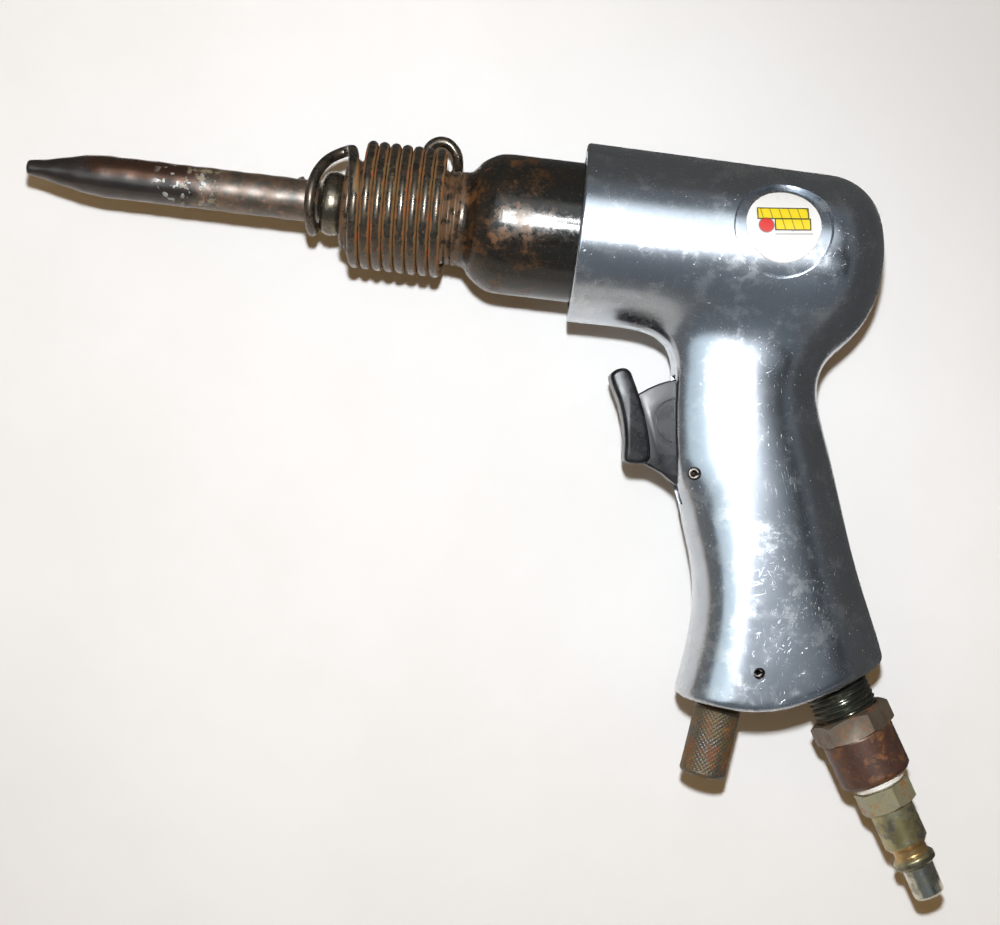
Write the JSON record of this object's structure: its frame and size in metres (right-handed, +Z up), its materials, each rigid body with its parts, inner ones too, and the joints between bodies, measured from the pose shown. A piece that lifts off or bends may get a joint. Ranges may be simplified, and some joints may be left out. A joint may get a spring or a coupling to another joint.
{
  "type": "pneumatic air hammer",
  "caption": "Pistol-grip air hammer with a pointed punch held by a wire retaining spring, trigger throttle, regulator knob and quick-connect air plug.",
  "frame": {"origin": "centre of the footprint at the lowest line of the barrel housing, the tool lying on its side", "axes": "+X along the barrel axis from the punch towards the rear, +Y away from the grip, +Z up through the side of the tool"},
  "size_m": [0.277, 0.1982, 0.05],
  "materials": {
    "polished_aluminium": "polished die casting with fine use scratches",
    "badge_white": "printed vinyl label",
    "black_oxide_steel": "black oxide with brown rust mottling",
    "hardened_steel": "ground and oiled",
    "ground_steel": "ground and oiled",
    "valve_steel": "lapped",
    "pin_steel": "plain bright steel",
    "worn_tool_steel": "blackened tip, brown worn body",
    "rusty_spring_wire": "dark spring wire with orange rust",
    "black_plastic": "satin moulded",
    "roll_pin_steel": "dull steel",
    "brass": "turned",
    "seal_rubber": "nitrile",
    "spring_steel": "bright spring wire",
    "rusty_knurled_steel": "knurled, evenly rusted olive brown",
    "screen_mesh": "woven wire",
    "rusty_steel_adapter": "rusted red brown with grey hexagon flats",
    "white_tape": "soft white thread tape",
    "yellow_zinc": "yellow zinc plate with brown spots"
  },
  "bodies": {
    "handle": {"handle_casting": "polished_aluminium", "badge_disc": "badge_white", "barrel": "black_oxide_steel", "retaining_spring": "rusty_spring_wire", "valve_case_front": "ground_steel", "valve_case_rear": "ground_steel", "valve_pin_1": "pin_steel", "valve_pin_2": "pin_steel", "trigger_pin": "roll_pin_steel", "throttle_bushing": "brass", "bushing_seal_ring": "seal_rubber", "throttle_spring": "spring_steel", "regulator_pin": "roll_pin_steel", "inlet_screen": "screen_mesh", "inlet_adapter": "rusty_steel_adapter", "thread_seal_tape": "white_tape", "inlet_plug": "yellow_zinc"},
    "piston": {"piston": "hardened_steel"},
    "punch": {"punch": "worn_tool_steel"},
    "trigger": {"trigger": "black_plastic"},
    "throttle_stem": {"throttle_stem": "brass", "throttle_seal_ring": "seal_rubber"},
    "valve_disc": {"valve_disc": "valve_steel"},
    "regulator": {"regulator_knob": "rusty_knurled_steel", "regulator_seal_ring": "seal_rubber"}
  },
  "joints": [
    {"name": "trigger_pull", "type": "hinge", "parent": "handle", "child": "trigger", "pos_m": [0.05481, 0.0114, 0.025], "axis": [0, 0, -1], "range_deg": [0, 10], "stiffness_Nm_per_rad": 0.6},
    {"name": "throttle_slide", "type": "slide", "parent": "handle", "child": "throttle_stem", "axis": [1, 0, 0], "range_m": [0, 0.0028], "deforming": ["throttle_spring"]},
    {"name": "piston_stroke", "type": "slide", "parent": "handle", "child": "piston", "axis": [1, 0, 0], "range_m": [0, 0.041]},
    {"name": "punch_slide", "type": "slide", "parent": "handle", "child": "punch", "axis": [-1, 0, 0], "range_m": [0, 0.008], "stiffness_N_per_m": 3000, "deforming": ["retaining_spring"]},
    {"name": "valve_disc_flutter", "type": "slide", "parent": "handle", "child": "valve_disc", "axis": [1, 0, 0], "range_m": [0, 0.0013]},
    {"name": "regulator_turn", "type": "hinge", "parent": "handle", "child": "regulator", "pos_m": [0.07051, -0.0513, 0.025], "axis": [-0.122, -0.9925, 0], "continuous": true}
  ],
  "couplings": [
    {"joint": "throttle_slide", "follows": "trigger_pull", "m_per_rad": 0.0157}
  ]
}
